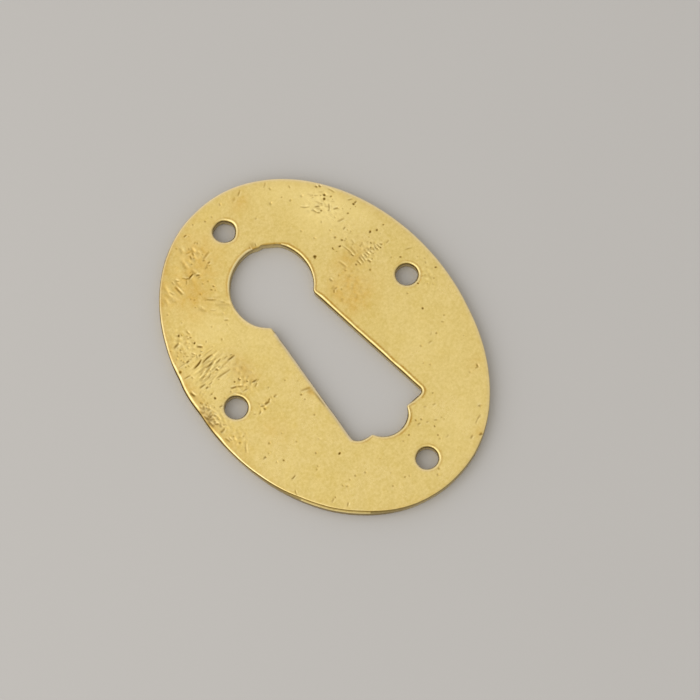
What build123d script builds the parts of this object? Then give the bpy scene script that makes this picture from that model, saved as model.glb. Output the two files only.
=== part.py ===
from build123d import *

import math
import os

# Keyhole escutcheon: one oval of sheet brass, pierced by a keyhole and four pin holes.
# The back lies on z = 0 with its centre at the origin. +Y runs to the keyhole's round head.

# Oval plate, in millimetres over its edges.
plate_height = 40.0
plate_width = 29.8
plate_thickness = 1.2
# Small bevel that a file leaves on the oval's front edge and round each pin hole.
edge_break = 0.14

# Four plain holes for round-headed pins, one at each end and one at each side.
pin_hole_radius = 1.2
top_pin_inset = 3.8
bottom_pin_inset = 3.55
side_pin_inset = 3.55
# The holes were drilled by hand: the left one stands a little higher than the right one.
right_pin_rise = -0.05
left_pin_rise = 0.53

# Keyhole: a round head for the shank, a flared skirt for the bit and a round foot.
head_radius = 4.5
neck_width = 6.0
base_width = 8.95
foot_width = 4.9
foot_depth = 1.55
# Metal left between the end pin holes and the keyhole.
head_web = 2.25
foot_web = 2.9
# Filed corners: at the neck, in the two corners of the base and at the heels beside the foot.
neck_radius = 0.45
base_corner_radius = 0.35
heel_radius = 0.4
# The keyhole's rim is rounded over on the front, where keys have rubbed it.
rim_radius = 0.2

# Places that follow from the sizes above.
top_pin_y = plate_height / 2 - top_pin_inset
bottom_pin_y = bottom_pin_inset - plate_height / 2
side_pin_x = plate_width / 2 - side_pin_inset
head_top_y = top_pin_y - pin_hole_radius - head_web
foot_bottom_y = bottom_pin_y + pin_hole_radius + foot_web
head_y = head_top_y - head_radius
base_y = foot_bottom_y + foot_depth


def front_face(plate):
    """The face that looks out of the woodwork."""
    return plate.faces().sort_by(Axis.Z)[-1]


def oval_blank():
    """The oval cut from sheet, with its front edge filed."""
    blank = extrude(Ellipse(plate_width / 2, plate_height / 2), plate_thickness)
    return chamfer(front_face(blank).edges(), edge_break)


def corner_at(face, point):
    """The corner of a face that lies nearest to a point."""
    return face.vertices().sort_by_distance(Vector(*point))[0]


def keyhole_face():
    """The keyhole's outline, symmetrical about the plate's long axis, with its corners filed round."""
    neck_y = head_y - math.sqrt(head_radius**2 - (neck_width / 2) ** 2)
    neck_left, neck_right = (-neck_width / 2, neck_y), (neck_width / 2, neck_y)
    base_left, base_right = (-base_width / 2, base_y), (base_width / 2, base_y)
    heel_left, heel_right = (-foot_width / 2, base_y), (foot_width / 2, base_y)
    head = ThreePointArc(neck_right, (0, head_top_y), neck_left)
    left_side = Polyline(neck_left, base_left, heel_left)
    foot = ThreePointArc(heel_left, (0, foot_bottom_y), heel_right)
    right_side = Polyline(heel_right, base_right, neck_right)
    outline = make_face(head + left_side + foot + right_side)
    for corners, radius in (
        ((neck_left, neck_right), neck_radius),
        ((base_left, base_right), base_corner_radius),
        ((heel_left, heel_right), heel_radius),
    ):
        outline = fillet([corner_at(outline, point) for point in corners], radius)
    return outline


def pierce_keyhole(plate):
    """Cuts the keyhole through the plate and rounds its rim over on the front."""
    plate -= extrude(keyhole_face(), plate_thickness)
    rim = front_face(plate).inner_wires()[0]
    return fillet(rim.edges(), rim_radius)


def pin_drill():
    """A hole right through the plate, widening at the front where its rim is filed."""
    bottom = (Align.CENTER, Align.CENTER, Align.MIN)
    shank = Cylinder(pin_hole_radius, plate_thickness, align=bottom)
    rim = Cone(pin_hole_radius, pin_hole_radius + edge_break, edge_break, align=bottom)
    return shank + Pos(Z=plate_thickness - edge_break) * rim


def drill_pin_holes(plate):
    """Top, bottom, right and left hole."""
    drill = pin_drill()
    for x, y in (
        (0, top_pin_y),
        (0, bottom_pin_y),
        (side_pin_x, right_pin_rise),
        (-side_pin_x, left_pin_rise),
    ):
        plate -= Pos(x, y) * drill
    return plate


os.makedirs("parts", exist_ok=True)
plate = drill_pin_holes(pierce_keyhole(oval_blank()))
plate.label = "escutcheon_plate"
export_step(plate, "parts/escutcheon_plate.step")
print("plate volume", round(plate.volume, 2), "mm3, size", plate.bounding_box().size)
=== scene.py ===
import math

import bpy
import numpy as np
from mathutils import Matrix, Vector
from mathutils.geometry import delaunay_2d_cdt
from mathutils.kdtree import KDTree


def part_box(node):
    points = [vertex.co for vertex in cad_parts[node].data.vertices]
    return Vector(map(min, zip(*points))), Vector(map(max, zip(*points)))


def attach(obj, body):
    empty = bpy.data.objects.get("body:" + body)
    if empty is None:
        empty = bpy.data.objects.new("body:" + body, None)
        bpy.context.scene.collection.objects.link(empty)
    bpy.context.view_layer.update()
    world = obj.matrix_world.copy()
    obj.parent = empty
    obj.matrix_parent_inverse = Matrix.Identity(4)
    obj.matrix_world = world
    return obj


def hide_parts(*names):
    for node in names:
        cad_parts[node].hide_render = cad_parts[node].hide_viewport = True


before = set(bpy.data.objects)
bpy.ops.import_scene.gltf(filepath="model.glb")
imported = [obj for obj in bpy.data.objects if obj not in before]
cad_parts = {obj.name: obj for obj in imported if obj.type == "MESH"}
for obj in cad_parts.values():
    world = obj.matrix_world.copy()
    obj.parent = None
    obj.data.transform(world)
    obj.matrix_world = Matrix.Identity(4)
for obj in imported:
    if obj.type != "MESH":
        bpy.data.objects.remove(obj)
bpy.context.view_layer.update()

mm = 0.001
plateLow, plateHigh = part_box("escutcheon_plate")
halfWidth = (plateHigh.x - plateLow.x) / mm / 2
halfHeight = (plateHigh.y - plateLow.y) / mm / 2
sheet = (plateHigh.z - plateLow.z) / mm
leftward = (-0.93, 0.36, 0.0)  # where the light is strongest: the picture's left and a little from below
chance = np.random.default_rng(11)
sides = (2 * halfWidth, 2 * halfHeight, sheet)
print("frame loaded, plate in millimetres:", *(round(side, 2) for side in sides))

# Outlines on the front face, in millimetres. +Y runs to the round head of the keyhole.
# Lists along an edge go by degrees from +X.
oval = {
    "turn": -1.1,  # degrees: the oval was sawn a little askew of its keyhole
    "soften": 0.25,  # how far the file rounded the outline's corners
    # How far the hand-filed edge strays outwards from a true oval.
    "stray": [
        (-168, 0.06), (-156, 0.16), (-144, 0.22), (-135, 0.24), (-124, 0.17), (-112, 0.10), (-98, 0.0),
        (-84, 0.0), (-72, 0.10), (-56, 0.14), (-42, 0.08), (-30, 0.02), (-20, -0.06), (0, 0.0), (24, 0.04),
        (48, 0.03), (62, -0.03), (76, -0.08), (95, -0.14), (104, -0.05), (120, 0.06), (136, 0.08),
        (144, 0.07), (151, 0.03), (157, 0.0), (161, -0.07), (165, 0.0), (169, -0.04), (174, -0.15),
        (180, -0.04),
    ],
    # The rounding of the front edge, wider where it was filed bright on the left.
    "rimRadius": [
        (-180, 0.35), (-168, 0.18), (-110, 0.12), (-95, 0.1), (95, 0.1), (112, 0.19), (131, 0.2), (140, 0.24),
        (152, 0.26), (158, 0.38), (170, 0.37),
    ],
    # The step that the saw left in the wall at the lower left.
    "ledge": [
        (-165, 0.0), (-152, 0.08), (-146, 0.18), (-125, 0.2), (-114, 0.08), (-105, 0.0), (180, 0.0),
    ],
    # How bright the edge was rubbed, with a painted highlight where it faces the light, where dirt sticks to
    # it, and how much tarnish lies along it.
    "rimRubAndHighlight": [
        (-180, 0.3), (-177, 0.7), (-170, 0.95), (-155, 0.8), (-145, 0.45), (-125, 0.45), (-110, 0.5),
        (-95, 0.4), (95, 0.5), (112, 0.3), (131, 0.2), (138, 0.5), (152, 0.5), (158, 0.75), (169, 0.75),
        (172, 0.2), (175, 0.0), (179, 0.0),
    ],
    "rimGrime": [
        (-180, 0.4), (-178.5, 0.0), (170.5, 0.0), (173, 0.65), (178.5, 0.65),
    ],
    "edgeTarnish": [
        (-180, 0.5), (-165, 0.35), (-150, 0.2), (-130, 0.15), (-110, 0.15), (-90, 0.1), (-20, 0.05),
        (10, 0.2), (27, 0.5), (45, 0.5), (62, 0.3), (90, 0.15), (108, 0.4), (115, 0.8), (132, 0.8),
        (140, 0.6), (155, 0.5), (170, 0.55),
    ],
    "paleSide": (0.6, 0.8),  # the way that the edges with a painted pale reflection face, here and in the holes
    "rimDirtAndShade": 0.95,
    "rimDull": 0.0,
    "tarnishAndShadeLine": 0.35,  # tarnish beside the rim, with painted shade beside the lit rims
}
keyhole = {
    "headCentre": (-0.09, 8.3),
    "headRadius": 4.5,
    "headFrom": 228,  # degrees
    "headTo": -48,
    # The head was sawn by hand and strays outwards. It has a straight filed part and a burr.
    "headStray": [
        (-47, -0.1), (-20, -0.08), (0, -0.1), (20, -0.02), (31, 0.05), (40, 0.12), (53, 0.0), (64, 0.08),
        (66.5, -0.09), (72, -0.05), (82, -0.02), (95, -0.08), (110, -0.15), (135, -0.15), (155, -0.07),
        (175, 0.02), (195, 0.12), (210, 0.17), (228, 0.12),
    ],
    "rightSide": [(2.82, 4.75), (4.36, -10.2)],
    "baseRight": [(4.4, -10.45), (4.24, -10.72), (3.92, -10.84)],
    "footCentre": (-0.24, -9.85),
    "footRadius": 2.54,
    "footFrom": -24,
    "footTo": -156,
    "footPoints": 66,
    "baseLeft": [(-3.21, -10.8), (-3.8, -10.64), (-4.22, -10.36), (-4.54, -9.95)],
    "leftSide": [(-4.2, -7.0), (-4.05, -5.2), (-3.25, 2.5), (-3.06, 4.7)],
    "soften": 0.09,
    "rimRadius": 0.29,
    "neck": 4.7,  # the head begins here
    "headRim": [(-60, 0.65), (-25, 0.65), (-5, 0.85), (20, 1.0), (180, 1.0)],  # narrower at its lower right
    "dull": (38, 76),  # degrees on the head where its rim was left unrounded and its wall slants
    "slant": 0.04,
    # The left side has a painted pale reflection, is rounded wide and shallow, and stands less proud.
    "leftOf": -2.0,
    "leftSpan": (-10.0, 4.0),
    "leftMargin": 0.2,
    "leftRadius": 0.42,
    "leftSquash": 0.55,
    "leftPale": 1.6,
    "leftLip": 0.004,
    "lip": 0.014,  # the rim stands a little proud of the face
    "rimDirtAndShade": 0.85,
    "rimDull": 0.1,
    "rimRubAndHighlight": 0.45,
    # The head's top and left arc were rubbed bright too, with a painted highlight.
    "crownFrom": 9.6,
    "crownLeftOf": 2.0,
    "crownRubAndHighlight": 1.0,
    "tarnishAndShadeLine": 1.25,
}
pinHoles = {
    # Flats that the file left, or bulges below zero: degrees, depth.
    "top": {
        "at": (0.0, 16.18),
        "radius": 1.2,
        "flats": [(35, 0.06), (100, 0.05), (150, -0.03), (-80, -0.06), (-40, 0.04)],
    },
    "bottom": {"at": (0.01, -16.46), "radius": 1.17, "flats": [(120, 0.03), (-150, -0.04)]},
    "right": {"at": (11.36, -0.05), "radius": 1.19, "flats": [(20, 0.03), (160, 0.02)]},
    "left": {"at": (-11.36, 0.54), "radius": 1.23, "flats": [(75, -0.05), (-60, 0.03)]},
    "flatReach": 22,  # degrees
    "soften": 0.08,
    "rimRadius": 0.27,
    "lip": 0.006,
    "rimDirtAndShade": 0.9,
    "rimDull": 0.1,
    "rimRubAndHighlight": 0.4,
    "tarnishAndShadeLine": 0.6,
}
# How finely the plate is meshed.
grid = {
    "walk": 4096,  # points on an outline while it is filed round
    "edge": 0.12,
    "coarse": 0.19,
    "fine": 0.074,  # in worn places and beside the edges
    "back": 0.6,
    "rowShare": 0.866,  # rows of a triangle grid stand closer than its points
    "edgeBand": 0.42,
    "roughFrom": 0.2,  # wear that calls for fine points
    "coarseClear": 0.1,  # room between the rim and the first points
    "fineClear": 0.07,
    "backClear": 0.3,
    "rimSteps": 8,
    "faceDrop": 0.03,  # room for what stands proud of the face
    "wearBelow": 0.2,  # the face's wear fades out this far down the walls
    "highest": 0.05,  # most that wear may raise or sink the face
    "deepest": 0.3,
    "sharpAngle": 50,
}


def bell(away, width):
    return np.exp(-((away / width) ** 2))


def readAt(rows, degrees, period=None):
    knots, values = np.array(rows).T
    return np.interp(degrees, knots, values, period=period)


def evenRing(points, count):
    ring = np.vstack([points, points[:1]])
    along = np.concatenate([[0], np.cumsum(np.hypot(*np.diff(ring, axis=0).T))])
    stops = np.linspace(0, along[-1], count, endpoint=False)
    return np.column_stack([np.interp(stops, along, axis) for axis in ring.T])


def evenOut(values, reach):
    # A soft average along a closed line, over so many of its points.
    window = np.exp(-2 * (math.pi * np.fft.rfftfreq(len(values)) * reach) ** 2)
    return np.fft.irfft(np.fft.rfft(values) * window, len(values))


def traceOutline(points, soften):
    # The corners are filed round, then the line is walked in even steps.
    walk = evenRing(np.array(points, float), grid["walk"])
    length = np.hypot(*(np.roll(walk, -1, 0) - walk).T).sum()
    reach = soften / (length / len(walk))
    filed = np.column_stack([evenOut(axis, reach) for axis in walk.T])
    return evenRing(filed, round(length / grid["edge"]))


def intoMetal(ring):
    # Every outline is walked with the metal on its left.
    step = np.roll(ring, -1, 0) - np.roll(ring, 1, 0)
    step /= np.hypot(*step.T)[:, None]
    return np.column_stack([-step[:, 1], step[:, 0]])


def aroundCentre(centre, reach, degrees):
    turns = np.radians(degrees)
    return np.column_stack([centre[0] + reach * np.cos(turns), centre[1] + reach * np.sin(turns)])


def ovalOutline():
    degrees = np.arange(0, 360, 0.5)
    stray = readAt(oval["stray"], degrees, 360)
    around = np.radians(degrees)
    x = (halfWidth + stray) * np.cos(around)
    y = (halfHeight + stray) * np.sin(around)
    turn = math.radians(oval["turn"])
    across = x * math.cos(turn) - y * math.sin(turn)
    upward = x * math.sin(turn) + y * math.cos(turn)
    ring = traceOutline(np.column_stack([across, upward]), oval["soften"])
    return np.clip(ring, (-halfWidth, -halfHeight), (halfWidth, halfHeight))


def keyholeOutline():
    degrees = np.arange(keyhole["headFrom"], keyhole["headTo"], -1.0)
    reach = keyhole["headRadius"] + readAt(keyhole["headStray"], degrees)
    head = aroundCentre(keyhole["headCentre"], reach, degrees).tolist()
    degrees = np.linspace(keyhole["footFrom"], keyhole["footTo"], keyhole["footPoints"])
    foot = aroundCentre(keyhole["footCentre"], keyhole["footRadius"], degrees).tolist()
    right = keyhole["rightSide"] + keyhole["baseRight"]
    left = keyhole["baseLeft"] + keyhole["leftSide"]
    return traceOutline(right + foot + left + head, keyhole["soften"])


def pinOutline(name):
    hole = pinHoles[name]
    degrees = np.arange(360, 0, -2.0)
    reach = np.full(len(degrees), hole["radius"])
    for middle, depth in hole["flats"]:
        away = (degrees - middle + 180) % 360 - 180
        reach -= depth * bell(away, pinHoles["flatReach"])
    return traceOutline(aroundCentre(hole["at"], reach, degrees), pinHoles["soften"])


def insideRing(points, ring):
    x, y = points.T
    inside = np.zeros(len(points), bool)
    for (x0, y0), (x1, y1) in zip(ring, np.roll(ring, -1, 0)):
        if y0 != y1:
            inside ^= ((y0 > y) != (y1 > y)) & (x < (x1 - x0) * (y - y0) / (y1 - y0) + x0)
    return inside


def insideMetal(points, rings):
    inside = insideRing(points, rings[0])
    for ring in rings[1:]:
        inside &= ~insideRing(points, ring)
    return inside


def innerPoints(rings, step, clear):
    across = np.arange(-halfWidth, halfWidth, step)
    rows = np.arange(-halfHeight, halfHeight, step * grid["rowShare"])
    x = across[None, :] + (np.arange(len(rows)) % 2)[:, None] * step / 2
    points = np.column_stack([x.ravel(), np.repeat(rows, len(across))])
    return points[insideMetal(points, [ring + clear * intoMetal(ring) for ring in rings])]


def fillSide(rings, inner):
    flat = np.vstack(rings + [inner])
    edges = []
    first = 0
    for ring in rings:
        edges += [(first + i, first + (i + 1) % len(ring)) for i in range(len(ring))]
        first += len(ring)
    filled = delaunay_2d_cdt([Vector(p) for p in flat], edges, [], 0, 1e-6, False)
    assert len(filled[0]) == len(flat)
    corners = np.array(filled[2])
    return corners[insideMetal(flat[corners].mean(1), rings)]


# Wear on the front, in millimetres, where it shows on the plate.
wear = {
    # Pits: x, y, size and how dark.
    "pits": [
        (5.4, 7.72, 0.16, 1.3), (5.28, 7.56, 0.1, 0.9), (8.1, 6.87, 0.13, 1.3), (7.4, 7.2, 0.11, 0.9),
        (7.38, 7.05, 0.09, 0.8), (7.5, 6.65, 0.09, 0.4), (8.37, 7.95, 0.13, 0.6), (8.72, 7.25, 0.13, 0.85),
        (9.15, 7.05, 0.12, 0.3), (9.9, 7.7, 0.1, 0.35), (10.05, 7.35, 0.1, 0.3), (6.7, 9.3, 0.16, 0.2),
        (8.1, 4.2, 0.12, 0.7), (8.83, 2.8, 0.12, 0.6), (5.2, 3.15, 0.11, 0.35), (5.95, 4.5, 0.12, 0.3),
        (6.85, 4.45, 0.13, 0.3), (11.55, 6.0, 0.15, 1.0), (12.2, 5.68, 0.13, 0.9), (13.1, 5.68, 0.11, 0.8),
        (10.8, 5.0, 0.1, 0.8), (10.45, 4.6, 0.1, 0.8), (10.95, 4.1, 0.08, 0.7), (11.25, 3.95, 0.1, 0.9),
        (11.6, 4.15, 0.09, 0.7), (11.4, 2.4, 0.1, 0.3), (12.12, 1.78, 0.12, 0.85), (13.5, 0.65, 0.08, 0.3),
        (13.95, 0.0, 0.09, 0.45), (12.9, 0.0, 0.08, 0.35), (11.6, -1.62, 0.11, 1.0), (14.15, -1.5, 0.12, 0.9),
        (12.8, -1.4, 0.08, 0.3), (12.35, -2.3, 0.1, 0.3), (10.18, -4.02, 0.12, 0.95), (7.4, -7.0, 0.13, 0.3),
        (6.8, -9.15, 0.12, 0.25), (11.45, -9.05, 0.07, 0.3), (5.0, -11.63, 0.1, 0.5),
        (10.45, -12.5, 0.12, 0.35), (9.35, -12.45, 0.12, 0.2), (10.57, 12.3, 0.14, 1.2),
        (10.28, 11.97, 0.14, 1.2), (10.25, 12.5, 0.07, 0.6), (11.0, 11.72, 0.14, 0.7),
        (9.2, 11.18, 0.11, 0.8), (9.65, 13.1, 0.09, 0.4), (12.22, 9.5, 0.13, 1.2), (12.2, 9.15, 0.07, 0.5),
        (11.12, 9.1, 0.11, 0.75), (11.65, 9.3, 0.07, 0.4), (9.8, 9.65, 0.12, 0.3), (11.05, 9.85, 0.1, 0.3),
        (8.5, 8.9, 0.12, 0.25), (7.5, 14.2, 0.15, 0.35), (8.7, 13.8, 0.15, 0.25), (5.7, 15.3, 0.2, 0.2),
        (6.7, 16.6, 0.15, 0.35), (-12.35, 2.72, 0.13, 1.3), (-9.7, 2.75, 0.1, 0.9), (-9.18, 2.7, 0.1, 1.0),
        (-9.12, 2.55, 0.1, 1.0), (-8.68, 1.95, 0.1, 0.8), (-10.65, 2.2, 0.12, 0.5), (-11.55, 2.05, 0.1, 0.4),
        (-13.0, 2.0, 0.09, 0.4), (-13.5, 2.75, 0.12, 0.45), (-10.15, 8.72, 0.13, 1.3),
        (-10.1, 9.45, 0.13, 0.6), (-11.75, 9.1, 0.11, 0.6), (-12.4, 8.15, 0.1, 0.5), (-13.1, 8.3, 0.08, 0.5),
        (-13.3, 7.25, 0.17, 0.85), (-12.5, 7.3, 0.1, 0.5), (-12.2, 7.2, 0.1, 0.45), (-11.7, 6.0, 0.07, 0.4),
        (-12.3, 3.3, 0.12, 0.6), (-13.8, 3.3, 0.1, 0.5), (-10.9, 10.42, 0.13, 1.2),
        (-13.45, -2.65, 0.13, 0.45), (-12.7, -2.35, 0.12, 0.4), (-9.2, -1.55, 0.12, 0.6),
        (-7.6, -1.2, 0.1, 0.55), (-9.3, -0.75, 0.09, 0.35), (-5.65, -0.55, 0.1, 0.5),
        (-5.36, -2.85, 0.13, 0.65), (-5.4, -3.48, 0.1, 0.5), (-9.55, -4.68, 0.1, 0.35),
        (-11.2, -4.65, 0.13, 0.45), (-12.45, -5.55, 0.12, 0.75), (-11.95, -5.45, 0.09, 0.3),
        (-11.25, -7.02, 0.11, 0.75), (-11.9, -6.7, 0.12, 0.25), (-8.97, -6.38, 0.11, 0.35),
        (-8.25, -8.6, 0.11, 0.6), (-9.3, -10.0, 0.1, 0.3), (-9.0, -9.8, 0.1, 0.3), (-6.45, -10.23, 0.15, 1.3),
        (-9.78, -13.48, 0.1, 0.6), (-8.4, -13.05, 0.11, 0.45), (-8.1, -13.4, 0.13, 0.35),
        (-7.45, -13.05, 0.1, 0.35), (-6.75, -13.1, 0.12, 0.45), (-5.75, -13.5, 0.13, 0.4),
        (-4.55, -16.45, 0.1, 0.45), (-0.3, -18.55, 0.14, 0.3), (1.75, -12.7, 0.12, 0.6),
        (2.25, -12.98, 0.12, 0.6), (0.2, -13.42, 0.1, 0.8), (-0.65, -13.53, 0.1, 0.5),
        (2.8, -14.45, 0.11, 0.85), (3.95, -14.18, 0.09, 0.5), (4.05, -14.5, 0.08, 0.35),
        (2.45, -15.38, 0.1, 0.6), (2.35, -15.8, 0.1, 0.3), (5.87, -18.28, 0.1, 0.75),
        (7.75, -15.9, 0.14, 0.25), (-0.8, 18.32, 0.12, 0.6), (-2.0, 18.9, 0.1, 0.5), (0.05, 18.25, 0.1, 0.35),
        (1.6, 18.75, 0.16, 0.3), (-4.9, 15.6, 0.1, 0.5), (-3.9, 14.3, 0.16, 0.35), (-5.1, 12.05, 0.13, 0.6),
        (-4.7, 12.2, 0.13, 0.65), (-4.85, 11.75, 0.09, 0.4), (-6.3, 12.45, 0.12, 0.3),
        (-10.3, 12.95, 0.12, 0.35), (-9.75, 11.3, 0.1, 0.3), (-5.6, 14.95, 0.08, 0.4), (-6.3, 8.05, 0.1, 0.3),
        (-7.65, 8.9, 0.12, 0.25),
    ],
    # File and tool marks: from x, y to x, y, with the width and how dark.
    "gouges": [
        (0.72, 12.6, 0.95, 13.2, 0.07, 0.4), (1.45, 12.6, 1.65, 13.0, 0.07, 0.45),
        (-14.6, 2.45, -14.52, 1.7, 0.15, 0.7), (-14.62, 1.9, -14.56, 0.7, 0.16, 0.75),
        (-5.2, -2.5, -4.15, -2.9, 0.12, 0.45), (7.55, -15.7, 8.0, -15.9, 0.1, 0.5),
        (6.5, -16.87, 7.25, -16.62, 0.08, 0.45), (5.6, -18.22, 6.05, -18.22, 0.12, 0.7),
        (4.75, -17.9, 5.15, -17.75, 0.1, 0.5), (10.3, -12.65, 10.5, -12.25, 0.1, 0.5),
        (10.0, -12.5, 10.3, -12.6, 0.09, 0.4), (3.2, -13.9, 3.5, -14.1, 0.1, 0.4),
        (2.4, -13.6, 2.7, -13.65, 0.09, 0.4), (4.1, -12.6, 4.5, -12.7, 0.09, 0.35),
        (-12.0, 6.58, -10.7, 6.88, 0.1, 1.1), (-11.0, 6.44, -9.45, 6.5, 0.1, 0.9),
        (-11.05, 5.84, -9.85, 5.87, 0.13, 0.75), (-12.0, 5.58, -11.05, 5.76, 0.1, 0.4),
        (-9.85, 5.54, -9.15, 5.6, 0.09, 0.6), (-11.65, 4.83, -10.9, 5.06, 0.08, 0.55),
        (-10.32, 5.15, -10.12, 4.8, 0.13, 0.75), (-10.2, 5.05, -9.65, 5.03, 0.09, 0.5),
        (-8.85, 4.97, -7.8, 4.95, 0.1, 0.8), (-8.95, 5.37, -8.45, 5.34, 0.07, 0.5),
        (-8.25, 5.32, -7.95, 5.2, 0.07, 0.5), (-10.95, 4.27, -9.05, 4.05, 0.1, 0.55),
        (-12.9, 4.56, -12.05, 4.5, 0.1, 0.7), (-12.45, 4.1, -12.05, 4.1, 0.1, 0.8),
        (-11.95, 4.24, -11.35, 4.3, 0.07, 0.5), (-13.25, 7.7, -11.9, 7.55, 0.07, 0.4),
        (-12.2, 7.56, -11.75, 7.58, 0.1, 0.85), (-11.1, 8.1, -10.9, 7.65, 0.08, 0.5),
        (-11.0, 7.2, -10.75, 7.65, 0.08, 0.4), (-10.75, 7.25, -10.4, 7.3, 0.1, 0.65),
        (-10.35, 7.56, -10.05, 7.48, 0.08, 0.5), (-10.2, 8.3, -9.75, 7.85, 0.12, 0.9),
        (-12.15, 9.65, -11.35, 9.75, 0.13, 0.75), (-13.45, 6.4, -12.65, 6.24, 0.08, 0.6),
        (-10.35, 7.02, -9.15, 6.95, 0.07, 0.3), (-13.85, 4.9, -13.72, 4.2, 0.13, 0.65),
        (-14.42, 2.95, -14.3, 2.1, 0.14, 0.7), (-14.42, 2.15, -14.36, 1.35, 0.13, 0.65),
        (-14.5, 1.5, -14.42, 0.5, 0.12, 0.6), (-10.45, 2.53, -9.8, 2.24, 0.11, 0.8),
        (-9.85, 2.26, -9.25, 1.82, 0.1, 0.5), (-9.75, 1.36, -9.05, 1.24, 0.09, 0.5),
        (-8.45, 1.53, -7.75, 1.4, 0.1, 0.85), (-8.45, 0.93, -7.95, 1.15, 0.09, 0.5),
        (-12.65, 1.66, -12.15, 1.6, 0.09, 0.6), (-10.75, 1.72, -10.4, 1.55, 0.12, 0.6),
        (-14.2, 1.42, -13.6, 1.5, 0.1, 0.55), (-13.62, 1.5, -13.42, 1.12, 0.1, 0.5),
        (-13.85, 2.15, -13.35, 2.14, 0.11, 0.5), (-14.15, 0.65, -13.75, 0.32, 0.12, 0.55),
        (-14.3, -0.52, -13.6, -0.45, 0.11, 0.6), (-14.3, -1.25, -14.15, -1.95, 0.11, 0.5),
        (-13.98, -1.45, -13.9, -1.95, 0.1, 0.4), (-13.0, -3.05, -13.65, -3.95, 0.11, 0.3),
        (-8.95, -1.22, -8.25, -1.28, 0.12, 0.75), (-8.4, -1.2, -8.05, -1.02, 0.1, 0.6),
        (-9.4, -1.02, -8.95, -1.25, 0.09, 0.5), (-10.0, -1.63, -9.6, -1.48, 0.09, 0.5),
        (-10.45, -1.2, -10.2, -1.35, 0.09, 0.35), (-7.6, -1.13, -7.25, -1.22, 0.1, 0.5),
        (-7.75, 14.85, -7.7, 13.6, 0.13, 0.55), (-7.32, 15.38, -7.02, 15.02, 0.09, 0.45),
        (-8.57, 14.8, -8.38, 14.15, 0.09, 0.35), (-6.45, 14.78, -6.05, 14.58, 0.08, 0.6),
        (-6.2, 14.48, -5.4, 14.64, 0.1, 0.95), (-5.35, 14.34, -4.95, 14.12, 0.12, 0.75),
        (-5.38, 13.96, -5.05, 13.84, 0.08, 0.4), (-4.55, 15.95, -4.38, 16.45, 0.1, 0.45),
        (-4.1, 16.1, -4.0, 16.55, 0.1, 0.45), (-3.65, 15.15, -2.55, 15.42, 0.12, 0.4),
        (-3.6, 14.5, -3.2, 14.5, 0.1, 0.65), (-3.65, 18.42, -3.2, 18.42, 0.09, 0.65),
        (-6.3, 11.72, -5.35, 10.84, 0.12, 0.4), (-5.25, 10.45, -4.85, 10.05, 0.1, 0.35),
        (-6.25, 8.62, -5.85, 8.33, 0.1, 0.45), (-6.65, 10.45, -6.15, 9.95, 0.08, 0.25),
        (7.8, 13.0, 8.6, 12.3, 0.09, 0.45), (8.58, 11.95, 8.72, 11.3, 0.1, 0.5),
        (8.7, 11.38, 9.05, 11.08, 0.1, 0.55), (8.95, 11.98, 9.4, 11.66, 0.11, 0.7),
        (9.65, 11.95, 9.82, 11.6, 0.09, 0.45), (9.72, 13.02, 10.1, 12.72, 0.08, 0.35),
        (10.5, 13.75, 10.62, 13.42, 0.12, 0.8), (10.85, 13.55, 10.93, 13.22, 0.12, 0.8),
        (10.35, 11.25, 9.98, 10.72, 0.1, 0.5), (10.02, 10.76, 9.7, 10.62, 0.09, 0.45),
        (10.25, 10.48, 10.82, 10.22, 0.11, 0.6), (11.33, 12.65, 11.6, 11.75, 0.1, 0.4),
        (12.05, 10.28, 12.55, 10.02, 0.1, 0.5), (12.3, 9.45, 12.7, 9.5, 0.1, 0.85),
        (9.65, 9.08, 10.5, 8.88, 0.11, 0.45), (9.55, 8.0, 10.0, 8.1, 0.1, 0.5),
        (8.35, 6.8, 8.56, 5.1, 0.08, 0.4), (8.48, 5.5, 8.55, 5.05, 0.1, 0.6),
        (6.93, 5.7, 7.15, 4.55, 0.12, 0.3), (9.33, 3.85, 9.45, 3.35, 0.12, 0.65),
        (4.35, 3.3, 4.62, 3.62, 0.1, 0.45), (4.55, 3.6, 5.05, 3.58, 0.1, 0.45),
        (5.0, 4.9, 5.1, 4.4, 0.12, 0.45), (13.0, 2.1, 13.65, 1.8, 0.07, 0.4),
        (3.62, 18.2, 4.25, 18.58, 0.1, 0.4), (2.8, 18.15, 3.3, 18.2, 0.16, 0.22),
        (6.25, 17.1, 6.85, 17.5, 0.1, 0.3), (8.35, 15.25, 8.45, 15.6, 0.09, 0.35),
        (8.15, -7.32, 8.6, -7.35, 0.1, 0.35), (8.85, -6.82, 9.25, -6.5, 0.07, 0.25),
        (1.52, -13.25, 1.95, -13.24, 0.09, 0.5), (2.95, -16.14, 3.3, -16.08, 0.08, 0.3),
        (6.15, -17.05, 6.65, -16.78, 0.08, 0.35), (6.7, -16.74, 7.15, -16.8, 0.08, 0.3),
        (4.9, -17.88, 5.2, -17.82, 0.08, 0.3), (-11.95, -9.12, -11.32, -9.04, 0.09, 0.7),
        (-12.75, -5.62, -12.4, -5.52, 0.09, 0.5), (-12.35, -10.2, -12.62, -10.8, 0.07, 0.5),
        (-10.4, -13.7, -9.9, -13.48, 0.1, 0.4), (-9.45, -15.05, -9.05, -14.76, 0.09, 0.55),
        (-4.15, -3.4, -4.28, -5.6, 0.11, 0.5),
    ],
    # A comb of short upright scratches: first x, last x, lowest and highest y, how many.
    "comb": (8.45, 11.6, 3.75, 4.8, 10),
    "combCut": (0.09, 0.5),  # width and how dark
    # Patches of small marks: x, y, reach in x, reach in y, how many, size.
    "patches": [
        (9.8, 11.2, 1.9, 2.4, 9, 0.08), (10.4, 4.8, 2.2, 1.6, 14, 0.08), (-9.2, 1.7, 1.4, 0.9, 9, 0.08),
        (-11.4, 9.2, 1.6, 2.0, 16, 0.1), (12.8, -1.5, 1.0, 2.0, 9, 0.09), (-13.9, 1.6, 0.5, 1.9, 16, 0.14),
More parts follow.
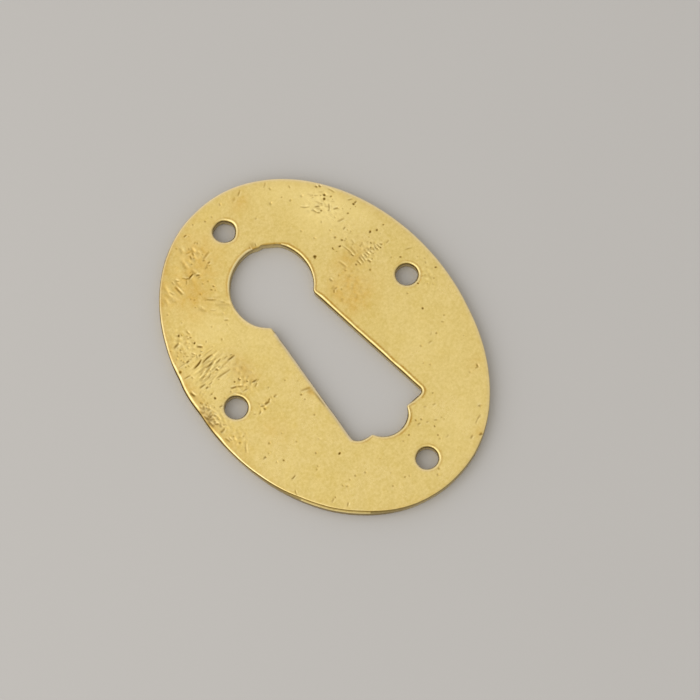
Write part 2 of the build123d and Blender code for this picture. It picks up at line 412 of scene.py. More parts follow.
        (-10.7, 6.3, 2.2, 2.4, 14, 0.08), (-6.8, 13.8, 2.6, 2.4, 9, 0.09), (-13.6, 0.8, 0.6, 2.6, 10, 0.1),
        (-4.0, 16.2, 1.6, 2.4, 14, 0.1), (0, 0, 13.5, 18.5, 40, 0.1),
    ],
    "scratchEvery": 3,  # of the marks in a patch, the others are pits
    "scratchDark": 0.35,
    # Faint strokes left by files and cloths: x, y, reach in x, reach in y, how many, shortest, longest,
    # lean in degrees and how dark.
    "strokes": [
        (-10.5, 5.6, 1.7, 1.7, 22, 0.7, 2.0, 3, 0.3), (-12.5, 4.4, 1.0, 1.8, 8, 0.3, 0.7, 8, 0.3),
        (-6.0, 10.4, 1.6, 1.7, 8, 0.8, 1.7, -42, 0.2), (-8.6, 14.6, 1.7, 1.4, 10, 0.7, 1.6, 92, 0.18),
        (-4.8, 15.9, 1.4, 1.7, 9, 0.5, 1.1, 86, 0.25), (6.0, 2.8, 2.4, 2.0, 5, 0.25, 0.6, 20, 0.2),
        (9.4, 11.8, 1.7, 1.8, 10, 0.3, 0.8, -52, 0.3), (9.6, 5.4, 1.4, 1.0, 10, 0.3, 0.7, 80, 0.3),
    ],
    "strokeStray": 9,  # degrees
    "strokeWidth": (0.09, 0.13),
    "faintBelow": 0.27,  # strokes less dark than this are wider
    "faintWidth": 1.7,
    # Crumpled metal: x, y, reach in x, reach in y, height, shortest and longest wave, lean of the furrows
    # in degrees or None where they run every way, and dirt in the hollows.
    "crumpled": [
        (-10.6, 5.7, 2.0, 1.7, 0.021, 0.32, 0.7, 3, 0.6), (9.8, 11.6, 1.8, 2.3, 0.006, 0.4, 1.0, None, 0.2),
        (-9.0, 1.8, 1.2, 0.9, 0.009, 0.35, 0.7, None, 0.35),
        (-13.5, 0.8, 0.8, 2.6, 0.008, 0.35, 0.8, None, 0.32),
        (-7.2, 14.8, 3.0, 1.8, 0.006, 0.7, 1.8, 80, 0.13), (-8.5, 3.4, 1.1, 1.5, 0.008, 0.5, 1.2, None, 0.3),
        (-6.4, 10.2, 1.8, 1.8, 0.003, 0.5, 1.4, -42, 0.08),
        (-11.4, 9.2, 1.7, 2.2, 0.005, 0.35, 0.9, None, 0.3),
        (12.8, -1.6, 1.1, 2.2, 0.004, 0.35, 0.9, None, 0.2),
        (10.0, 4.4, 1.8, 1.2, 0.008, 0.35, 0.8, None, 0.3), (6.0, 2.6, 2.4, 2.4, 0.004, 0.4, 1.2, None, 0.15),
        (-13.2, -2.4, 0.9, 1.3, 0.006, 0.4, 0.8, None, 0.3),
        (-8.8, -1.2, 1.1, 0.5, 0.009, 0.35, 0.7, None, 0.35),
        (-4.2, 16.0, 1.6, 2.6, 0.005, 0.55, 1.2, None, 0.15), (0, 0, 40, 40, 0.004, 1.3, 3.5, None, 0.0),
        (9.2, 7.0, 2.0, 2.2, 0.004, 0.4, 1.1, None, 0.12),
    ],
    "waveCount": 36,
    "furrowStray": 0.2,  # radians
    # Stains, by x, y, reach in x, reach in y and strength: brown tarnish, dirt, grey haze and pale satin.
    "tarnish": [
        (-7.0, 13.3, 2.5, 2.6, 0.62), (-3.6, 16.4, 2.0, 2.6, 0.4), (6.0, 2.4, 2.4, 2.3, 0.6),
        (5.2, 0.8, 1.0, 0.9, 0.25), (7.6, 5.2, 1.6, 1.2, 0.35), (9.6, 5.4, 1.3, 1.0, 0.18),
        (-8.3, 3.5, 1.0, 1.9, 0.42), (-13.7, 4.8, 0.6, 1.8, 0.4), (-14.2, 1.5, 0.7, 1.5, 0.25),
        (4.6, 3.0, 0.8, 1.2, 0.12), (1.15, 12.75, 0.35, 0.4, 0.4), (-8.8, 1.8, 1.8, 1.2, 0.15),
        (-10.0, -4.0, 1.7, 1.7, 0.2), (-4.45, -3.15, 0.32, 0.42, 0.9), (-8.7, -1.2, 1.1, 0.5, 0.2),
        (-2.0, 16.0, 8.0, 4.5, 0.1), (3.2, 17.6, 1.2, 1.0, 0.35), (-11.5, 8.5, 3.0, 3.0, 0.15),
        (-13.6, -2.0, 1.0, 2.2, 0.25), (10.4, -12.2, 1.0, 0.8, 0.2), (6.2, -18.0, 1.0, 0.7, 0.3),
    ],
    "film": [
        (-14.3, 1.5, 0.7, 1.3, 0.3), (-6.6, 13.4, 1.4, 1.4, 0.05), (-8.2, 3.4, 0.9, 1.8, 0.1),
        (8.6, 5.0, 0.9, 0.8, 0.06), (-13.9, 4.2, 0.4, 1.0, 0.2), (1.25, 13.0, 0.3, 0.35, 0.35),
        (-4.4, -3.1, 0.3, 0.35, 0.3),
    ],
    "haze": [
        (-14.2, 1.5, 0.8, 1.6, 0.14), (-8.3, 3.5, 1.0, 1.9, 0.05),
    ],
    "satin": [
        (-11.2, 5.6, 2.2, 1.8, 0.35), (-5.4, 4.6, 1.9, 2.2, 0.15), (-8.2, 8.6, 2.2, 1.9, 0.35),
        (9.6, 11.8, 2.8, 3.2, 0.8), (12.2, 8.2, 1.2, 1.6, 0.3), (7.5, 16.2, 3.0, 1.6, 0.35),
        (0.0, 18.7, 2.5, 0.9, 0.15), (8.5, -7.0, 4.5, 6.0, 0.2), (4.5, -16.0, 5.0, 3.0, 0.2),
    ],
    "hollowFrom": 0.35,  # share of a wave's height
    "hollowDirt": 0.55,
    "hollowTarnish": 0.7,
    "crestShine": 1.7,
    "pitDepth": 0.3,
    "grooveDepth": 0.32,
    "grooveHighlight": 0.45,
    "grooveBurr": 0.15,  # metal pushed up beside a groove
    "fullCut": 0.6,  # grooves as dark as this are cut to their full depth
}


def placeInPatch(px, py, reachX, reachY):
    distance = math.sqrt(chance.uniform())
    angle = chance.uniform(0, 2 * math.pi)
    return px + reachX * distance * math.cos(angle), py + reachY * distance * math.sin(angle)


def listMarks():
    # Small marks vary by chance in place, size, lean and strength.
    pits = list(wear["pits"])
    grooves = list(wear["gouges"])
    left, right, bottom, top, count = wear["comb"]
    for tooth in np.linspace(left, right, count):
        low = bottom + chance.uniform(0, 0.4)
        high = top - chance.uniform(0, 0.5)
        grooves.append((tooth, low, tooth + chance.uniform(-0.15, 0.1), high) + wear["combCut"])
    for *patch, count, size in wear["patches"]:
        for number in range(count):
            x, y = placeInPatch(*patch)
            if number % wear["scratchEvery"]:
                pits.append((x, y, size * chance.uniform(0.7, 1.3), chance.uniform(0.15, 0.5)))
            else:
                run = chance.uniform(0.25, 0.6)
                lean = chance.uniform(0, math.pi)
                end = (x + run * math.cos(lean), y + run * math.sin(lean))
                grooves.append((x, y) + end + (size, wear["scratchDark"]))
    for *patch, count, shortest, longest, lean, dark in wear["strokes"]:
        for _ in range(count):
            x, y = placeInPatch(*patch)
            run = chance.uniform(shortest, longest) / 2
            turn = math.radians(lean + chance.normal(0, wear["strokeStray"]))
            dx = run * math.cos(turn)
            dy = run * math.sin(turn)
            width = chance.uniform(*wear["strokeWidth"])
            if dark <= wear["faintBelow"]:
                width *= wear["faintWidth"]
            grooves.append((x - dx, y - dy, x + dx, y + dy, width, dark * chance.uniform(0.4, 1.0)))
    marks = {
        "pits": [pit + (chance.uniform(0, math.pi), chance.uniform(0.6, 1.0)) for pit in pits],
        "grooves": [groove + (chance.uniform(-0.06, 0.06),) for groove in grooves],
        "crumpled": [],
    }
    count = wear["waveCount"]
    for *patch, height, shortest, longest, lean, dirt in wear["crumpled"]:
        turns = chance.uniform(0, 2 * math.pi, count)
        if lean is not None:
            turns = math.radians(lean + 90) + chance.normal(0, wear["furrowStray"], count)
        lengths = chance.uniform(shortest, longest, count)
        waves = np.column_stack([np.cos(turns) / lengths, np.sin(turns) / lengths]) * 2 * math.pi
        starts = chance.uniform(0, 2 * math.pi, count)
        marks["crumpled"].append((patch, height, waves, starts, dirt))
    return marks


# Darker grime where given: dirt in pits and hollows, and painted shade beside grooves.
def addDarkening(face, near, amount):
    face["grime"][near] = np.maximum(face["grime"][near], amount)


def pressPit(face, px, py, size, stain, lean, squeeze):
    near = np.flatnonzero((abs(face["x"] - px) < 3 * size) & (abs(face["y"] - py) < 3 * size))
    dx = face["x"][near] - px
    dy = face["y"][near] - py
    along = dx * math.cos(lean) + dy * math.sin(lean)
    across = (dy * math.cos(lean) - dx * math.sin(lean)) / squeeze
    away = np.hypot(along, across) / size  # in pit sizes
    face["sink"][near] += wear["pitDepth"] * size * np.exp(-1.5 * away**2)
    addDarkening(face, near, stain * np.exp(-0.7 * away**4))
    face["rough"][near] += bell(away, 1.6)


def cutGroove(face, x0, y0, x1, y1, width, stain, bend):
    # Dirt lies in the groove, shifted to the side turned from the light as painted shade. The other side gets
    # a painted highlight.
    length = math.hypot(x1 - x0, y1 - y0)
    ux = (x1 - x0) / length
    uy = (y1 - y0) / length
    shade = np.sign(ux * leftward[1] - uy * leftward[0])
    share = ((face["x"] - x0) * ux + (face["y"] - y0) * uy) / length
    bow = bend * length * np.sin(math.pi * np.clip(share, 0, 1))
    across = (face["y"] - y0) * ux - (face["x"] - x0) * uy - bow
    near = np.flatnonzero((share > 0) & (share < 1) & (abs(across) < 3.5 * width))
    fade = np.sin(math.pi * share[near]) ** 0.5
    side = across[near] / width  # in groove widths
    strength = min(1.0, stain / wear["fullCut"])
    cut = np.exp(-1.4 * side**2) - wear["grooveBurr"] * np.exp(-3 * (abs(side) - 1.7) ** 2)
    face["sink"][near] += wear["grooveDepth"] * strength * width * fade * cut
    addDarkening(face, near, stain * fade * np.exp(-1.1 * abs(side - 0.3 * shade) ** 3))
    litSideHighlight = wear["grooveHighlight"] * strength * fade * np.exp(-1.5 * (side + 1.2 * shade) ** 2)
    face["rub"][near] = np.maximum(face["rub"][near], litSideHighlight)
    face["rough"][near] += fade * bell(side, 1.8)


def patchWeight(x, y, px, py, reachX, reachY):
    return np.exp(-(((x - px) / reachX) ** 2) - ((y - py) / reachY) ** 2)


def wearFront(x, y, marks):
    face = {"x": x, "y": y}
    for name in ("sink", "grime", "tarnish", "satin", "rough", "rub", "pale"):
        face[name] = np.zeros(len(x))
    for pit in marks["pits"]:
        pressPit(face, *pit)
    for groove in marks["grooves"]:
        cutGroove(face, *groove)
    for patch, height, waves, starts, dirt in marks["crumpled"]:
        weight = patchWeight(x, y, *patch)
        near = np.flatnonzero(weight > 0.02)
        swell = np.zeros(len(near))
        for (kx, ky), start in zip(waves, starts):
            swell += np.cos(kx * x[near] + ky * y[near] + start)
        swell *= weight[near] * math.sqrt(2 / len(waves))
        face["sink"][near] += height * swell
        hollow = np.clip(swell - wear["hollowFrom"], 0, 1.5)
        crest = np.clip(-wear["hollowFrom"] - swell, 0, 1.2)
        addDarkening(face, near, wear["hollowDirt"] * dirt * hollow)
        face["satin"][near] += wear["crestShine"] * dirt * crest
        face["rough"][near] += weight[near] * (dirt > 0)
    face["tarnish"] += wear["hollowTarnish"] * np.minimum(face["grime"], 1.0)
    stains = {"tarnish": "tarnish", "satin": "satin", "film": "grime", "haze": "pale"}
    for stain, layer in stains.items():
        for *patch, strength in wear[stain]:
            face[layer] += strength * patchWeight(x, y, *patch)
    return face


# Wear of the rims and the walls, and on the face beside them, with painted highlight, reflection and shade.
rims = {
    "unevenReach": 2.5,  # points along an edge
    "unevenRadius": 0.08,
    "unevenRub": 0.25,
    "unevenDirt": 0.05,
    "pale": 0.9,  # the palest edges, a painted pale reflection
    # Share of a hole's rounding in the shade, and what the light and the foot's side add.
    "shadeRadius": 0.62,
    "litRadius": 0.4,
    "footRadius": 0.2,
    "tightest": 0.65,  # most of the outline's own bend that the rounding may take
    # Over the rim, in degrees from the face: middle and spread of the painted highlight line and the painted
    # pale reflection on the lip, and where brown, dirt with painted shade, begins and how far on it is full.
    "highlightLine": (18, 14),
    "paleLip": (68, 30),
    "brown": (27, 22),
    "paleDirt": 0.6,  # share of its dirt that a pale lip has lost
    "unwornRim": 0.5,  # dirt on a rim that was left unworn, and the share of it on the wall below
    "unwornWall": 0.3,
    "fullStep": 0.1,
    # Down the wall: height as a share of the sheet, share of the saw's step, inset, rub (with painted
    # reflection), dirt (with painted shade), and what the step adds to the rub and the dirt. The wall's top
    # and foot are darker, its lower part paler.
    "wall": [
        (0.86, 1, 0.0, 0.0, 0.75, 0.0, 0.0),
        (0.74, 0, 0.0, 0.0, 0.65, 0.5, -0.45),
        (0.6, 0, 0.0, 0.5, 0.3, 0.0, 0.3),
        (0.3, 0, 0.0, 0.8, 0.1, -0.5, 0.5),
        (0.07, 0, 0.0, 0.5, 0.3, 0.0, 0.4),
        (0.0, 0, 0.05, 0.0, 0.6, 0.0, 0.0),
    ],
    # On the face: how wide each kind of wear and painted light is, and how strong.
    "lipWidth": 0.1,
    "paleWidth": 0.22,
    "paleShare": 0.8,
    "lineAway": 0.08,
    "crownAway": 0.07,
    "lineWidth": 0.08,
    "crownLine": 0.6,
    "lineDirtAndShade": 0.3,
    "shadeWidth": 0.3,
    "paintedEdgeShade": 0.12,
    "borderWidth": 0.8,
    "borderTarnish": 0.35,
    "borderDirt": 0.22,
}


def unevenness(count):
    # A soft random wave along an edge, about half a millimetre from crest to crest.
    wave = evenOut(chance.normal(0, 1, count), rims["unevenReach"])
    return np.clip(wave / wave.std(), -2, 2)


def alongOval(name, x, y):
    return readAt(oval[name], np.degrees(np.arctan2(y / halfHeight, x / halfWidth)), 360)


def onLeftSide(x, y, margin):
    bottom, top = keyhole["leftSpan"]
    return (x < keyhole["leftOf"]) & (y > bottom - margin) & (y < top + margin)


def facingShare(inward, direction):
    # 0 where the edge faces away, 1 where it faces that way.
    return np.clip(0.5 - 0.6 * (inward @ np.array(direction)), 0, 1)


def edgeState(outline, inward, kind):
    # How an edge is rounded, stepped, turned to the light, worn and rubbed, with its painted highlight and
    # painted pale reflection, point by point.
    x, y = outline.T
    count = len(outline)
    lit = facingShare(inward, leftward[:2])
    pale = rims["pale"] * facingShare(inward, oval["paleSide"])
    squash = np.ones(count)
    worn = np.ones(count)
    crown = np.zeros(count)
    ledge = np.zeros(count)
    stained = np.zeros(count)
    uneven = unevenness(count)
    if kind is oval:
        names = ("rimRadius", "ledge", "rimRubAndHighlight", "rimGrime")
        radius, ledge, rub, stained = (alongOval(name, x, y) for name in names)
        stained *= np.clip(0.85 + 0.3 * uneven, 0.4, 1.2)
    else:
        radius = kind["rimRadius"] * (rims["shadeRadius"] + rims["litRadius"] * lit)
        radius *= 1 + rims["footRadius"] * np.clip(-inward[:, 1], 0, 1)
        rub = np.full(count, kind["rimRubAndHighlight"])
    if kind is keyhole:
        hx, hy = keyhole["headCentre"]
        turns = np.degrees(np.arctan2(y - hy, x - hx))
        dullFrom, dullTo = keyhole["dull"]
        worn[(y > hy) & (turns > dullFrom) & (turns < dullTo)] = 0.0
        share = np.where(y > keyhole["neck"], readAt(keyhole["headRim"], turns), 1.0)
        rub *= share
        crown = keyhole["crownRubAndHighlight"] * worn * np.clip(y - keyhole["crownFrom"], 0, 1)
        crown *= x < keyhole["crownLeftOf"]
        leftSide = onLeftSide(x, y, 0)
        headPale = np.maximum(pale * (1 - 0.8 * crown), 0.4 * crown)
        pale = np.where(leftSide, keyhole["leftPale"], headPale)
        squash = np.where(leftSide, keyhole["leftSquash"], 1.0)
        radius = np.where(leftSide, keyhole["leftRadius"], radius * share * (0.4 + 0.6 * worn))
    return {
        "radius": rimRadii(outline, radius * (1 + rims["unevenRadius"] * uneven)),
        # Painted highlight: the rub shows only on the side towards the light, and on the crown.
        "paintedHighlight": np.maximum(rub * lit, crown) * (1 + rims["unevenRub"] * uneven),
        "pale": pale * worn,
        "squash": squash,
        "ledge": ledge,
        "lit": lit,
        "worn": worn,
        "crown": crown,
        "uneven": uneven,
        "stained": stained,
    }


def rimRadii(outline, radius):
    # The rounding stays smaller than the bend of the outline where the metal has a sharp corner.
    step = np.roll(outline, -1, 0) - outline
    heading = np.arctan2(step[:, 1], step[:, 0])
    bend = (heading - np.roll(heading, 1) + math.pi) % (2 * math.pi) - math.pi
    bend = np.max([np.roll(bend, k) for k in range(-1, 2)], axis=0)
    tightest = np.minimum(radius, rims["tightest"] * np.hypot(*step.T) / np.maximum(bend, 1e-6))
    near = np.min([np.roll(tightest, k) for k in range(-3, 4)], axis=0)
    return np.mean([np.roll(near, k) for k in range(-3, 4)], axis=0)


def edgeProfile(edge, kind, front):
    # From the face over the rounded rim and down the wall: inset, height, rub with painted highlight, painted
    # pale reflection and dirt with painted shade. A wall is brown above (dirt and painted shade) and bright
    # below (painted reflection). A rim that was left unworn is brown and its wall bright.
    radius, ledge, lit, worn = (edge[name] for name in ("radius", "ledge", "lit", "worn"))
    level = np.ones(len(radius))
    specks = rims["unevenDirt"] * np.clip(edge["uneven"], 0, 2)
    lineAt, lineWidth = rims["highlightLine"]
    lipAt, lipWidth = rims["paleLip"]
    brownAt, brownRun = rims["brown"]
    rows = []
    for degrees in np.linspace(0, 90, grid["rimSteps"] + 1):
        over = math.radians(degrees)
        rub = worn * edge["paintedHighlight"] * bell(degrees - lineAt, lineWidth)
        pale = edge["pale"] * bell(degrees - lipAt, lipWidth)
        brown = min(1.0, max(0.0, (degrees - brownAt) / brownRun))
        # Brown over the steep part of the rim: dirt and painted shade, stronger on the side towards the
        # light.
        dirt = np.maximum(brown * kind["rimDirtAndShade"], kind["rimDull"]) * lit
        dirt = np.max([dirt * (1 - rims["paleDirt"] * pale), specks, edge["stained"]], axis=0)
        dirt = np.where(worn > 0.5, dirt, rims["unwornRim"] * (degrees > 0))
        height = front - edge["squash"] * radius * (1 - math.cos(over))
        rows.append((ledge + radius * (1 - math.sin(over)), height, rub, pale, dirt))
    stepped = np.clip(ledge / rims["fullStep"], 0, 1)
    for share, onStep, inset, rub, dirt, stepRub, stepDirt in rims["wall"]:
        dirt = dirt + stepDirt * stepped
        dirt = np.where(worn > 0.5, dirt, rims["unwornWall"] * dirt)
        height = share * sheet * level
        rows.append((inset + onStep * ledge, height, rub + stepRub * stepped, 0.0 * level, dirt))
    return rows


def nearestEdge(points, outlines):
    # For each point: how far the nearest edge is, and which of all the outlines' points lies there.
    joined = np.vstack(outlines)
    tree = KDTree(len(joined))
    for index, (x, y) in enumerate(joined):
        tree.insert((x, y, 0), index)
    tree.balance()
    found = [tree.find((x, y, 0)) for x, y in points]
    return np.array([hit[2] for hit in found]), np.array([hit[1] for hit in found])


def wearEdges(face, points, outlines, edges, kinds):
    # Rims stand a little proud. Those that face the light carry a painted highlight, with a line of tarnish
    # and painted shade beside them, and the others have painted shade beside them and are paler, a painted
    # pale reflection.
    x, y = points[:, :2].T
    away, nearest = nearestEdge(points[:, :2], outlines)
    names = ("lit", "pale", "radius", "crown", "worn")
    joined = (np.concatenate([edge[name] for edge in edges]) for name in names)
    lit, pale, radius, crown, worn = (values[nearest] for values in joined)
    owner = np.repeat(np.arange(len(outlines)), [len(outline) for outline in outlines])[nearest]
    lines, lips = (np.array([kind.get(name, 0.0) for kind in kinds]) for name in ("tarnishAndShadeLine", "lip"))
    leftSide = (owner == kinds.index(keyhole)) & onLeftSide(x, y, keyhole["leftMargin"])
    lip = np.where(leftSide, keyhole["leftLip"], lips[owner])
    face["sink"] -= lip * bell(away - 0.8 * radius, rims["lipWidth"])
    face["pale"] = np.maximum(face["pale"], rims["paleShare"] * pale * bell(away, rims["paleWidth"]))
    lineAway = np.where(worn > 0.5, rims["lineAway"] + rims["crownAway"] * crown, 0.0)
    line = lines[owner] * np.maximum(rims["crownLine"] * crown, 0.1 + 0.9 * lit)
    line *= bell(away - (radius + lineAway), rims["lineWidth"])
    # Painted shade on the face beside the edges turned from the light.
    shade = rims["paintedEdgeShade"] * (1 - lit) * bell(away, rims["shadeWidth"])
    border = (owner == kinds.index(oval)) * alongOval("edgeTarnish", x, y)
    border = border * bell(away, rims["borderWidth"])
    # The line beside the lit rims is tarnish and painted shade; the border along the oval is tarnish.
    face["tarnish"] += line + rims["borderTarnish"] * border
    dirt = np.max([rims["lineDirtAndShade"] * line, shade, rims["borderDirt"] * border], axis=0)
    face["grime"] = np.maximum(face["grime"], dirt)


def chooseInner(rings, outlines, marks):
    # Fine points in worn places and beside the edges, coarse ones elsewhere.
    chosen = []
    for size in ("fine", "coarse"):
        inner = innerPoints(rings, grid[size], grid[size + "Clear"])
        rough = wearFront(inner[:, 0], inner[:, 1], marks)["rough"] > grid["roughFrom"]
        rough |= nearestEdge(inner, outlines)[0] < grid["edgeBand"]
        chosen.append(inner[rough == (size == "fine")])
    return np.vstack(chosen)


def addObject(name, data):
    made = bpy.data.objects.new(name, data)
    bpy.context.scene.collection.objects.link(made)
    return made


def buildPlate():
    marks = listMarks()
    holes = [pinOutline(name) for name in ("top", "bottom", "right", "left")]
    outlines = [ovalOutline(), keyholeOutline()] + holes
    kinds = [oval, keyhole] + [pinHoles] * len(holes)
    front = sheet - grid["faceDrop"]
    points = []
    faces = []
    edgeLayers = {"rub": [], "pale": [], "grime": []}
    edges = []
    frontRings = []
    backRings = []
    total = 0
    for outline, kind in zip(outlines, kinds):
        inward = intoMetal(outline)
        edge = edgeState(outline, inward, kind)
        edges.append(edge)
        profile = edgeProfile(edge, kind, front)
        for inset, height, rub, pale, dirt in profile:
            slant = keyhole["slant"] * (1 - edge["worn"]) * (1 - height / front)
            points.append(np.column_stack([outline + (inset - slant)[:, None] * inward, height]))
            edgeLayers["rub"].append(rub)
            edgeLayers["pale"].append(pale)
            edgeLayers["grime"].append(dirt)
        count = len(outline)
        here = np.arange(count)
        after = (here + 1) % count
        for k in range(len(profile) - 1):
            upper = total + k * count
            lower = upper + count
            faces += np.column_stack([upper + here, lower + here, lower + after, upper + after]).tolist()
        frontRings.append((total, points[-len(profile)][:, :2]))
        total += len(profile) * count
        backRings.append((total - count, points[-1][:, :2]))
    for side, rings, height in (("front", frontRings, front), ("back", backRings, 0.0)):
        lines = [ring for first, ring in rings]
        if side == "front":
            inner = chooseInner(lines, outlines, marks)
        else:
            inner = innerPoints(lines, grid["back"], grid["backClear"])
        corners = fillSide(lines, inner)
        places = [first + np.arange(len(ring)) for first, ring in rings]
        places = np.concatenate(places + [total + np.arange(len(inner))])
        points.append(np.column_stack([inner, np.full(len(inner), height)]))
        for layer in edgeLayers.values():
            layer.append(np.zeros(len(inner)))
        total += len(inner)
        flat = np.vstack(lines + [inner])
        a, b, c = (flat[corners[:, i]] for i in range(3))
        upward = (b[:, 0] - a[:, 0]) * (c[:, 1] - a[:, 1]) > (b[:, 1] - a[:, 1]) * (c[:, 0] - a[:, 0])
        wrong = upward != (side == "front")
        corners[wrong] = corners[wrong][:, ::-1]
        faces += places[corners].tolist()
        print("filled", side, "with", len(corners), "triangles")
    points = np.vstack(points)
    face = wearFront(points[:, 0], points[:, 1], marks)
    wearEdges(face, points, outlines, edges, kinds)
    below = grid["wearBelow"]
    rise = np.clip((points[:, 2] - (front - below)) / below, 0, 1)
    sink = np.clip(face["sink"], -grid["highest"], grid["deepest"])
    points[:, 2] = np.minimum(points[:, 2] - sink * rise, sheet)
    rub, pale, dirt = (np.concatenate(edgeLayers[name]) for name in ("rub", "pale", "grime"))
    layers = {
        "grime": np.maximum(np.clip(face["grime"], 0, 1) * rise, dirt),
        "tarnish": np.clip(face["tarnish"], 0, 1.2) * rise,
        "rub": np.maximum(rub, face["rub"] * rise),
        "pale": np.maximum(pale, face["pale"] * rise),
        "satin": np.clip(face["satin"], 0, 1) * rise,
    }
    mesh = bpy.data.meshes.new("escutcheonPlate")
    mesh.from_pydata((points * mm).tolist(), [], faces)
    mesh.polygons.foreach_set("use_smooth", np.ones(len(mesh.polygons), bool))
    mesh.set_sharp_from_angle(angle=math.radians(grid["sharpAngle"]))
    for name, values in layers.items():
        layer = mesh.attributes.new(name, "FLOAT", "POINT")
        layer.data.foreach_set("value", values.astype(np.float32))
    mesh.validate()
    return addObject("escutcheonPlate", mesh)


def addNode(tree, kind, inputs=None, **settings):
    made = tree.nodes.new(kind)
    for name, value in settings.items():
        setattr(made, name, value)
    for socket, value in (inputs or {}).items():
        if isinstance(value, bpy.types.NodeSocket):
            tree.links.new(value, made.inputs[socket])
        else:
            made.inputs[socket].default_value = value
    return made


def mixColour(tree, share, first, second):
    return addNode(tree, "ShaderNodeMix", {0: share, 6: first, 7: second}, data_type="RGBA").outputs[2]


def sums(tree, operation, *values):
    return addNode(tree, "ShaderNodeMath", dict(enumerate(values)), operation=operation).outputs[0]


def spread(tree, value, fromLow, fromHigh, toLow, toHigh):
    ends = {"From Min": fromLow, "From Max": fromHigh, "To Min": toLow, "To Max": toHigh}
    return addNode(tree, "ShaderNodeMapRange", {"Value": value, **ends}).outputs[0]


def noise(tree, place, scale, detail, roughness):
    inputs = {"Vector": place, "Scale": scale, "Detail": detail, "Roughness": roughness}
    return addNode(tree, "ShaderNodeTexNoise", inputs).outputs["Fac"]


def newMaterial(name):
    material = bpy.data.materials.new(name)
    material.use_nodes = True
    tree = material.node_tree
    place = addNode(tree, "ShaderNodeTexCoord").outputs["Object"]
    return material, tree, tree.nodes["Principled BSDF"], place


brass = {
    "clean": (0.785, 0.6, 0.232, 1),
    "dull": (0.645, 0.478, 0.14, 1),
    "tarnished": (0.60, 0.34, 0.05, 1),
    # Dirt, also used for the painted shade on walls and rims and beside edges and grooves.
    "dirt": (0.15, 0.082, 0.006, 1),
    # Rubbed edges, and the painted highlights on rims and grooves and the painted reflection on the lower
    # walls.
    "rubbed": (0.87, 0.74, 0.38, 1),
    "pale": (0.75, 0.62, 0.4, 1),  # painted pale reflection on the edges, and grey haze; less metallic
    "paleMetal": 0.3,
    "satin": (0.88, 0.69, 0.27, 1),
    "cloudScale": 260,
    "patchScale": 1100,
    "grainScale": 3800,
    "roughLow": 0.25,
    "roughHigh": 0.4,
    "dirtRough": 0.18,  # tarnish and dirt add this
    "bump": 0.3,
    "bumpDepth": 0.00004,  # metres
}


def brassMaterial():
    material, tree, shader, place = newMaterial("wornBrass")
    cloudy = noise(tree, place, brass["cloudScale"], 5, 0.6)
    patchy = noise(tree, place, brass["patchScale"], 4, 0.65)
    grain = noise(tree, place, brass["grainScale"], 3, 0.6)
    names = ("grime", "tarnish", "rub", "satin", "pale")
    layers = [addNode(tree, "ShaderNodeAttribute", attribute_name=name) for name in names]
    grime, tarnish, rub, satin, pale = (layer.outputs["Fac"] for layer in layers)
    mottle = sums(tree, "MULTIPLY_ADD", patchy, 0.5, spread(tree, cloudy, 0.3, 0.7, 0.0, 0.42))
    flecks = sums(tree, "MULTIPLY_ADD", spread(tree, grain, 0.3, 0.7, -0.5, 0.5), 0.7, mottle)
    colour = mixColour(tree, spread(tree, flecks, 0.1, 0.9, 0, 1), brass["clean"], brass["dull"])
    colour = mixColour(tree, satin, colour, brass["satin"])
    brown = sums(tree, "MULTIPLY", tarnish, spread(tree, patchy, 0.35, 0.65, 0.4, 1.0))
    colour = mixColour(tree, brown, colour, brass["tarnished"])
    # Rubbed edges with painted highlights, then painted pale reflection and haze, then dirt with painted
    # shade.
    colour = mixColour(tree, rub, colour, brass["rubbed"])
    colour = mixColour(tree, pale, colour, brass["pale"])
    specks = sums(tree, "MULTIPLY", grime, spread(tree, grain, 0.3, 0.6, 0.92, 1.0))
    colour = mixColour(tree, specks, colour, brass["dirt"])
    rough = spread(tree, mottle, 0.25, 0.75, brass["roughLow"], brass["roughHigh"])
    dirtRough = sums(tree, "MULTIPLY", sums(tree, "ADD", brown, specks), brass["dirtRough"])
    relief = {"Strength": brass["bump"], "Distance": brass["bumpDepth"], "Height": grain}
    tree.links.new(colour, shader.inputs["Base Color"])
    tree.links.new(sums(tree, "ADD", rough, dirtRough), shader.inputs["Roughness"])
    tree.links.new(addNode(tree, "ShaderNodeBump", relief).outputs["Normal"], shader.inputs["Normal"])
    tree.links.new(spread(tree, pale, 0, 1, 1.0, brass["paleMetal"]), shader.inputs["Metallic"])
    return material


plate = buildPlate()
plate.data.materials.append(brassMaterial())
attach(plate, "root")
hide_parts("escutcheon_plate")
print("plate built with", len(plate.data.polygons), "faces")

# A plain pale floor and broad soft light.
studio = {
    "floorSide": 0.8,
    "floorColour": (0.45, 0.43, 0.404, 1),
    "floorShade": 0.97,  # the darker of its two tones
    "floorRough": 0.9,
    "floorShine": 0.1,
    "rightLevel": 0.635,
    "leftLevel": 1.345,
    "lampSide": 0.24,
    "lampDistance": 0.25,
    "lampHeight": 46,  # degrees above the floor
    "lampPower": 0.19,
}


def floorMaterial():
    material, tree, shader, place = newMaterial("paleFloor")
    cloudy = noise(tree, place, 25, 3, 0.5)
    darker = tuple(studio["floorShade"] * part for part in studio["floorColour"][:3]) + (1,)
    colour = mixColour(tree, cloudy, studio["floorColour"], darker)
    tree.links.new(colour, shader.inputs["Base Color"])
    shader.inputs["Roughness"].default_value = studio["floorRough"]
    shader.inputs["Specular IOR Level"].default_value = studio["floorShine"]
    return material


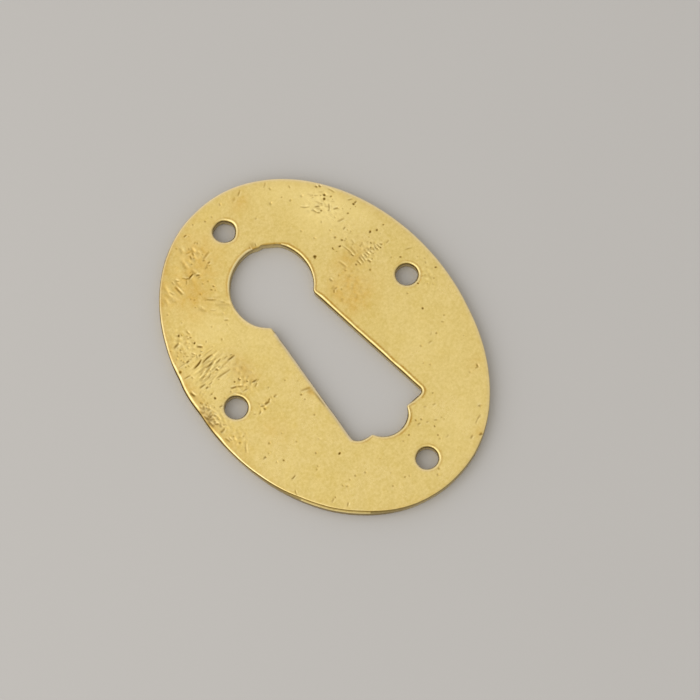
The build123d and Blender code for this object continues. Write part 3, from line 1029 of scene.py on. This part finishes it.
def buildStudio():
    half = studio["floorSide"] / 2
    corners = [(-half, -half, 0), (half, -half, 0), (half, half, 0), (-half, half, 0)]
    mesh = bpy.data.meshes.new("floor")
    mesh.from_pydata(corners, [], [(0, 1, 2, 3)])
    floor = addObject("floor", mesh)
    floor.data.materials.append(floorMaterial())
    world = bpy.data.worlds.new("softRoom")
    bpy.context.scene.world = world
    world.use_nodes = True
    tree = world.node_tree
    ground = tree.nodes["Background"]
    ray = addNode(tree, "ShaderNodeTexCoord").outputs["Generated"]
    lean = addNode(tree, "ShaderNodeVectorMath", {0: ray, 1: leftward}, operation="DOT_PRODUCT")
    level = spread(tree, lean.outputs["Value"], -1, 1, studio["rightLevel"], studio["leftLevel"])
    tree.links.new(level, ground.inputs["Strength"])
    ground.inputs["Color"].default_value = (1.0, 1.0, 1.0, 1)
    lamp = bpy.data.lights.new("softbox", "AREA")
    lamp.size = studio["lampSide"]
    lamp.energy = studio["lampPower"]
    holder = addObject("softbox", lamp)
    up = math.radians(studio["lampHeight"])
    aim = Vector(leftward) * math.cos(up) + Vector((0, 0, math.sin(up)))
    holder.location = aim * studio["lampDistance"]
    holder.rotation_euler = aim.to_track_quat("Z", "Y").to_euler()


buildStudio()
print("studio ready")

camera = {
    "aim": (1.73, -2.19, 0.0),  # millimetres
    "distance": 302.7,
    "azimuth": -32.75,
    "elevation": 73.0,
    "roll": 8.0,
    "lens": 149.5,
    "sensor": 36,
    "nearest": 0.01,  # metres
}


def placeCamera():
    azimuth, elevation, roll = (math.radians(camera[name]) for name in ("azimuth", "elevation", "roll"))
    east = math.sin(azimuth)
    south = -math.cos(azimuth)
    level = math.cos(elevation)
    rise = math.sin(elevation)
    back = Vector((east * level, south * level, rise))
    far = Vector((-east * rise, -south * rise, level))
    side = far.cross(back)
    up = math.cos(roll) * far + math.sin(roll) * side
    right = math.cos(roll) * side - math.sin(roll) * far
    data = bpy.data.cameras.new("camera")
    data.lens = camera["lens"]
    data.sensor_width = camera["sensor"]
    data.clip_start = camera["nearest"]
    holder = addObject("camera", data)
    place = (Vector(camera["aim"]) + back * camera["distance"]) * mm
    turn = Matrix((right, up, back)).transposed().to_4x4()
    holder.matrix_world = Matrix.Translation(place) @ turn
    bpy.context.scene.camera = holder


placeCamera()
bpy.context.scene.view_settings.view_transform = "Standard"
